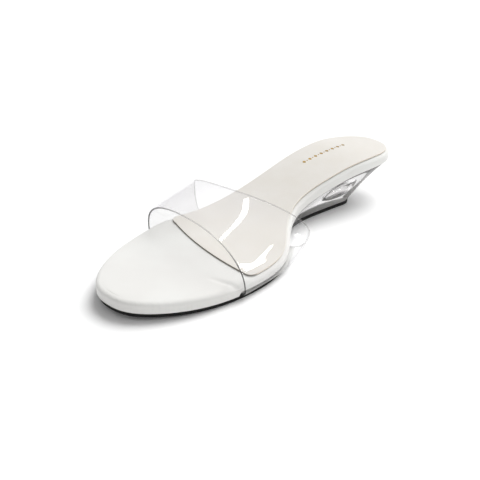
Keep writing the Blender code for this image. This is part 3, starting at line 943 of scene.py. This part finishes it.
# %% Strap: shape
def make_strap():
    """For each place across the foot, a ring round the wall: the outer face from the rear edge
    to the front edge, and the inner face back. Each edge is cut back by a quarter circle."""
    width = (STRAP["near_end"][-1] - STRAP["near_end"][0]) * LENGTH
    edge = STRAP_EDGE_ROUND * STRAP_EDGE_STEPS / width
    rows = np.concatenate([edge, np.linspace(edge[-1], 1 - edge[-1], STRAP_ROWS)[1:-1], 1 - edge[::-1]])
    outer = np.array([strap_line(row) for row in rows])
    normal = unit_normals(outer)
    normal = normal * np.sign(normal[len(rows) // 2, outer.shape[1] // 2, 2])
    from_edge = np.minimum(rows, 1 - rows)[:, None, None] * width
    short = STRAP_EDGE_ROUND - np.clip(from_edge, 0, STRAP_EDGE_ROUND)
    cut_back = STRAP_EDGE_ROUND - np.sqrt(STRAP_EDGE_ROUND**2 - short**2)
    top = outer - normal * cut_back
    bottom = outer - normal * (STRAP_WALL - cut_back)
    rings = np.concatenate([top[::-1], bottom]).transpose(1, 0, 2)
    halves = [(ring[:len(rows)], ring[len(rows):][::-1]) for ring in (rings[0], rings[-1])]
    ends = [close_ring(*pair, 1.0)[None] for pair in halves]
    rings = np.concatenate([ends[0], rings, ends[1]])
    return put_rings("clear_strap", rings, [vinyl, vinyl_edge], sharp_angle=40), rings.shape[:2]


strap, strap_grid = make_strap()

# %% Strap: its cut edges, and painted shade on them and on its far side
# How pale the painted shade of the cut edges is, and where it deepens
PALE_EDGE_SHADE, REAR_EDGE_SHADE = 0.15, 0.1
EDGE_SHADE_TURNS = 0.55, 0.97
EDGE_SHADE_FAR = -34 * MM, 4 * MM
SANDED_SHARE, SANDED_FADE = 0.85, (0.3 * MM, 1.7 * MM)
PAINTED_GREY_FADE = -35 * MM, -8 * MM
MIDDLE_X = np.array([-50, 60]) * MM


def mark_strap():
    """The faces within the round of a cut edge take the second material. Its painted shade is
    dark on the front edge where it turns down and on the far side, and pale over the crown, like
    all of the rear edge. The clear faces are milky at the foot, and greyer on the far side, a
    painted shade for the reflection there."""
    levels, around = strap_grid
    place = np.arange(around)
    rounded = len(STRAP_EDGE_STEPS) - 1
    at_front = np.abs(place - (around / 2 - 0.5)) < rounded
    at_rear = (place < rounded - 1) | (place >= around - rounded)
    give_materials(strap, np.tile(at_front | at_rear, levels - 1))
    x, y, z = piece_points(strap)
    turned = 1 - smooth_step(*EDGE_SHADE_TURNS, z / CROWN_HEIGHT)
    dark = PALE_EDGE_SHADE + (1 - PALE_EDGE_SHADE) * np.maximum(turned, 1 - smooth_step(*EDGE_SHADE_FAR, x))
    middle_y = np.interp(x, MIDDLE_X, strap_line(0.5)[[0, -1], 1])
    give_tone(strap, "edge_tone", np.where(y > middle_y, REAR_EDGE_SHADE, dark))
    give_tone(strap, "sanded", SANDED_SHARE * (1 - smooth_step(*SANDED_FADE, z - footbed_underside(y))))
    # Painted shade: grey on the far side of the strap, for its grazing reflection
    give_tone(strap, "tint", 1 - smooth_step(*PAINTED_GREY_FADE, x))


mark_strap()
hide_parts("strap")
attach(strap, "root")

# %% [markdown]
# ## Clear moulded vinyl, and what is glued to it
#
# The wedge is injection-moulded, thick and solid enough to bend light, so it is real glass
# to the renderer, with the refractive index of PVC. Light for shadows goes straight through,
# which keeps the floor under it from going black. An attribute paints shade into its grey:
# deepest at the thin front under the arch and slight at the rear face.
#
# A grey band below the board is partly the glue joint and partly the board's painted shadow
# on the wedge. The base is sanded to hold the sole, so a pale layer hides the black rubber from above.

# %% Materials: clear moulded vinyl with painted shade, glue line with painted shadow, and the sanded base
def moulded_vinyl(add):
    # Painted shade: grey mixed into the glass's colour, deepest at its thin front and slight at its rear
    # face
    tint = add("Attribute", {"attribute_name": "tint"}, "Fac")
    body = add("Mix", COLOURS, 2, i0=tint, i6="#F2F1F1", i7="#A5A4A3")
    glass = add("BsdfPrincipled", Base_Color=body, Roughness=0.03, IOR=1.49, Transmission_Weight=1.0)
    through = add("BsdfTransparent", Color="#F2F2F3")
    for_lamps = add("LightPath", out="Is Shadow Ray")
    return add("MixShader", i0=for_lamps, i1=glass, i2=through)


def plain_layer(add, code, roughness):
    """One colour, for what has no pattern that would show: the glue line with its painted shadow, sanded
    vinyl, white board.
    """
    return add("BsdfPrincipled", Base_Color=code, Roughness=roughness)


wedge_materials = [
    new_material("moulded_clear_pvc", moulded_vinyl),
    # Painted shadow: the grey band is partly the glue joint and partly the board's shadow on the wedge
    new_material("glue_line_and_painted_shadow", plain_layer, "#6E6B69", 0.5),
    new_material("sanded_wedge_base", plain_layer, "#DAD9D7", 0.6),
]

# %% [markdown]
# ## The wedge heel
#
# The mould's two halves meet on the board's outline above and on the sole's below, so the
# wedge is a ruled surface between two rims, with hollowed sides. A thick clear moulding is
# cored to save weight, and that closed hollow is what breaks the light inside it. The hollow
# could be a Boolean. Here it is a second skin with its faces turned to the inside, which
# keeps both skins clean.

# %% Wedge: sizes and skin
WEDGE_INSET = 1.6 * MM
WEDGE_TIP = 0.9 * MM
WEDGE_HOLLOW, HOLLOW_ROOM = 1.1 * MM, 8 * MM
WEDGE_ROUND, ROUND_SHARE, ROUND_RISE = 0.5 * MM, 0.35, 0.3
WEDGE_STATIONS = 150
WEDGE_LEVELS = 17
WEDGE_CAP = 6
GLUE_AND_SHADOW_HEIGHT = 2.0 * MM


def wedge_start():
    """Distance from the toe at which the wedge's tip fits under the footbed."""
    y = np.linspace(ARCH_START, HEEL_SEAT, LOOKUPS)
    room = footbed_underside(y) - outsole_top(y) - 2 * JOINT_GAP
    return np.interp(WEDGE_TIP, room, y)


def make_wedge():
    """Ruled from the outsole's shorter plan to the footbed's, with sides hollowed by half a
    sine wave, edges softly rounded, and closed by a flat cap below and above."""
    start = wedge_start()
    high_y = stations(start, FOOTBED_PLAN, WEDGE_STATIONS)
    low_y = start + (high_y - start) * (OUTSOLE_LENGTH - start) / (LENGTH - start)
    level = np.pad(np.linspace(0, 1, WEDGE_LEVELS), 2, mode="edge")[:, None] + 0 * high_y
    tall = footbed_underside(high_y) - outsole_top(low_y)
    level[WEDGE_LEVELS] = np.maximum(level[WEDGE_LEVELS], 1 - GLUE_AND_SHADOW_HEIGHT / tall)
    shrink = np.zeros_like(level)
    shrink[[0, -1]], shrink[[1, -2]] = WEDGE_ROUND, ROUND_SHARE * WEDGE_ROUND
    sides = []
    for side in (NEAR, FAR):
        high = rim_outline(high_y, side, FOOTBED_PLAN, WEDGE_INSET + shrink)
        low = rim_outline(low_y, side, OUTSOLE_PLAN, shrink)
        flat = low + (high - low) * level[..., None]
        bottom = outsole_top(low[..., 1]) + JOINT_GAP
        room = np.clip(footbed_underside(high[..., 1]) - JOINT_GAP - bottom, 0, None)
        soft = np.minimum(WEDGE_ROUND, room / 4)
        raise_by = level * (room - 2 * soft) + soft
        raise_by[0], raise_by[-1] = 0, room[-1]
        raise_by[1], raise_by[-2] = ROUND_RISE * soft[1], (room - ROUND_RISE * soft)[-2]
        flat[..., 0] -= side * WEDGE_HOLLOW * np.sin(np.pi * level) * np.minimum(1, room / HOLLOW_ROOM)
        sides.append(np.dstack([flat, bottom + raise_by]))
    near, far = sides
    below = [close_ring(near[0], far[0], share) for share in towards_rim(WEDGE_CAP)]
    above = [close_ring(near[-1], far[-1], share) for share in towards_rim(WEDGE_CAP)[::-1]]
    return np.array(below + [close_ring(*pair) for pair in zip(near, far)] + above)


# %% Wedge: the hollow inside
POCKET_CENTRE = np.array([-2.0, 200.0, 15.0]) * MM
POCKET_HALF = np.array([10.0, 15.0, 8.5]) * MM
POCKET_POWER = 2.6
POCKET_LEAN = 0.5
POCKET_END = 0.6
POCKET_LEVELS, POCKET_STEPS = 25, 36


def make_pocket():
    """Rings of a superellipsoid, |x/a|^p + |y/b|^p + |z/c|^p = 1, from its underside up. It
    leans with the wedge's rear, a share of its height towards the heel. Its first and last
    ring are small and closed on the middle line."""
    angle = np.linspace(-np.pi / 2, np.pi / 2, POCKET_LEVELS)[:, None]
    size = np.cos(angle) ** (2 / POCKET_POWER)
    size[[0, -1]] = size[[1, -2]] * POCKET_END
    height = np.sign(np.sin(angle)) * np.abs(np.sin(angle)) ** (2 / POCKET_POWER)
    turn = np.pi * (0.5 + np.arange(POCKET_STEPS)) / POCKET_STEPS
    along = -np.sign(np.cos(turn)) * np.abs(np.cos(turn)) ** (2 / POCKET_POWER)
    across = np.sin(turn) ** (2 / POCKET_POWER)
    width = size * np.concatenate([across, -across[::-1]])
    width[[0, -1]] = 0
    length = size * np.concatenate([along, along[::-1]])
    points = np.dstack([width, length, height + 0 * length]) * POCKET_HALF + POCKET_CENTRE
    points[..., 1] += POCKET_LEAN * (points[..., 2] - POCKET_CENTRE[2])
    return points


# %% Wedge: shape
# Where the wedge's painted shade fades out, at its front and at its rear face
FRONT_SHADE_FADE, FRONT_LEAN = (142 * MM, 176 * MM), 0.6
REAR_SHADE_FADE, REAR_LEAN, REAR_SHADE_SHARE = (198 * MM, 206 * MM), 0.9, 0.12


def make_wedge_heel():
    """The wedge's skin, and the pocket's skin turned inside out. The band below the top edge takes
    the glue line's material with its painted shadow, and the flat base the sanded one. The painted
    shade is full at the thin front and slight at the rear face, on lines that lean with the height."""
    skin, pocket = make_wedge(), make_pocket()
    rows, around = len(skin) - 1, skin.shape[1]
    outer, inner = ring_faces(*skin.shape[:2]), ring_faces(*pocket.shape[:2])
    first = len(ring_points(skin))
    faces = outer + [tuple(first + corner for corner in face[::-1]) for face in inner]
    points = np.concatenate([ring_points(skin), ring_points(pocket)])
    piece = put_piece("clear_wedge_heel", points, faces, wedge_materials, sharp_angle=30)
    row_material = np.zeros(rows)
    row_material[:WEDGE_CAP + 1] = 2
    row_material[WEDGE_CAP + WEDGE_LEVELS:][:2] = 1
    give_materials(piece, np.concatenate([np.repeat(row_material, around), np.zeros(len(inner))]))
    x, y, z = piece_points(piece)
    front = 1 - smooth_step(*FRONT_SHADE_FADE, y - FRONT_LEAN * z)
    rear = smooth_step(*REAR_SHADE_FADE, y - REAR_LEAN * (z - OUTSOLE_THICKNESS - JOINT_GAP))
    give_tone(piece, "tint", (np.arange(len(x)) < first) * np.maximum(front, REAR_SHADE_SHARE * rear))
    return piece


wedge = make_wedge_heel()
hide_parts("wedge_heel")
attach(wedge, "root")

# %% [markdown]
# ## Floor and surround
#
# The photograph is a high-key one: white floor, white surround and soft light, so the shoe is
# a little darker than what is round it. A large floor takes the shadow. The world is white
# wherever it is seen, mirrored or looked at through the clear parts, as a studio's white
# walls would be. As plain light it is weaker, because walls all round would wash out the
# shadow that the lamps lay down.

# %% Floor
FLOOR_REACH = 4.0


def make_floor():
    """One flat square of matt white board."""
    corners = FLOOR_REACH * np.array([[-1, -1, 0], [1, -1, 0], [1, 1, 0], [-1, 1, 0]])
    mesh = bpy.data.meshes.new("studio_floor")
    mesh.from_pydata(corners.tolist(), [], [(0, 1, 2, 3)])
    mesh.materials.append(new_material("white_studio_floor", plain_layer, "#FBFBFB", 0.9))
    return add_object("studio_floor", mesh)


floor = make_floor()
print("floor of", tuple(round(side, 1) for side in floor.dimensions), "m")

# %% World
WORLD_LIGHT, WORLD_SEEN = 0.36, 1.0


def white_studio():
    """White all round: strength WORLD_SEEN for rays from the camera and for mirrored and bent
    rays, and WORLD_LIGHT for all others."""
    world = bpy.data.worlds.new("white_studio")
    world.use_nodes = True
    world.node_tree.nodes.clear()
    add = partial(add_node, world)
    seen = add("LightPath", out="Is Camera Ray")
    for kind in ("Is Glossy Ray", "Is Transmission Ray"):
        ray = add("LightPath", out=kind)
        seen = add("Math", {"operation": "MAXIMUM"}, i0=seen, i1=ray)
    strength = add("MapRange", Value=seen, To_Min=WORLD_LIGHT, To_Max=WORLD_SEEN)
    light = add("Background", Color="#FFFFFF", Strength=strength)
    add("OutputWorld", Surface=light)
    return world


bpy.context.scene.world = white_studio()
bpy.context.scene.view_settings.view_transform = "Standard"
print("made", bpy.context.scene.world.name)

# %% [markdown]
# ## Lamps
#
# One soft key shines from above and behind the heel, and lays the short shadow in front of
# the toe. A sun lamp with a wide angle does this evenly, however far the floor reaches. A low
# panel in front fills the side walls, and a small one the heel. They are hidden from
# mirrored rays. Two narrow strips do the opposite: they light nothing, and stand only where
# the bent strap mirrors them into the camera as its two long highlights.

# %% Lamps
UP = (0, 0, 1)


def aim(thing, place, line, up=UP, roll=0.0):
    """Put an object at a place, looking along a line. Its own Z is minus the line, its X is
    square to that and to up, and both X and Y are then turned by roll."""
    back = -np.array(line) / np.linalg.norm(line)
    right = np.cross(up, back)
    right = right / np.linalg.norm(right)
    turned = right * np.cos(roll) + np.cross(back, right) * np.sin(roll)
    matrix = np.eye(4)
    matrix[:3, :3] = np.column_stack([turned, np.cross(back, turned), back])
    matrix[:3, 3] = place
    thing.matrix_world = Matrix(matrix.tolist())


def panel(width, length, radiance):
    """Settings of a rectangular lamp. Its power is its radiance times its area times pi."""
    power = radiance * width * length * np.pi
    return {"shape": "RECTANGLE", "size": width, "size_y": length, "energy": power}


def add_lamp(name, kind, place, line, settings, up=UP, in_gloss=True, in_diffuse=True):
    """Lamp that shines along a line, with its second side along up."""
    lamp = bpy.data.lights.new(name, kind)
    for key, value in settings.items():
        setattr(lamp, key, value)
    thing = add_object(name, lamp)
    aim(thing, place, line, up)
    thing.visible_glossy = in_gloss
    thing.visible_diffuse = in_diffuse
    print("lamp", name)


add_lamp("soft_key", "SUN", (0, 0, 2), (0.06, -0.61, -0.79),
         {"angle": np.radians(44), "energy": 3.05}, in_gloss=False)
add_lamp("low_front_fill", "AREA", (1.0, -1.0, 0.4), (-1, 1, -0.35), panel(1.8, 0.7, 0.65), in_gloss=False)
add_lamp("heel_fill", "AREA", (0.42, 0.22, 0.30), (-0.36, -0.16, -0.30),
         panel(0.3, 0.3, 1.5), in_gloss=False)
add_lamp("strip_over_strap", "AREA", np.array([-105.7, 124.8, 180.5]) * MM, (0.079, -0.677, -0.732),
         panel(6 * MM, 145 * MM, 11.0), up=(-0.778, 0.418, -0.470), in_diffuse=False)
add_lamp("strip_near_side", "AREA", np.array([492.5, 483.9, 514.3]) * MM, (-0.577, -0.327, -0.748),
         panel(28 * MM, 444.5 * MM, 11.0), up=(-0.736, -0.188, 0.650), in_diffuse=False)

# %% [markdown]
# ## Camera
#
# The camera was fitted to the photograph: a place, an aim and a focal length that bring the
# rim, the sock, the sole and the wedge of the model onto those of the picture. It stands
# close, as a product camera does, which is why the toe looks so large.

# %% Camera
AIM_POINT = np.array([26.07, 81.47, 20.0]) * MM + PLACE
AZIMUTH, ELEVATION, ROLL = np.radians([44.86, 28.02, 1.085])
DISTANCE = 359.5 * MM
FOCAL_LENGTH_MM, SENSOR_WIDTH_MM = 47.06, 36.0

camera_data = bpy.data.cameras.new("camera")
camera_data.sensor_width = SENSOR_WIDTH_MM
camera_data.lens = FOCAL_LENGTH_MM
camera_data.clip_start = 10 * MM
camera = add_object("camera", camera_data)
bpy.context.scene.camera = camera
towards_camera = np.array([np.sin(AZIMUTH), -np.cos(AZIMUTH), np.tan(ELEVATION)]) * np.cos(ELEVATION)
aim(camera, AIM_POINT + towards_camera * DISTANCE, -towards_camera, roll=ROLL)
print("camera at", [round(value, 3) for value in camera.location])
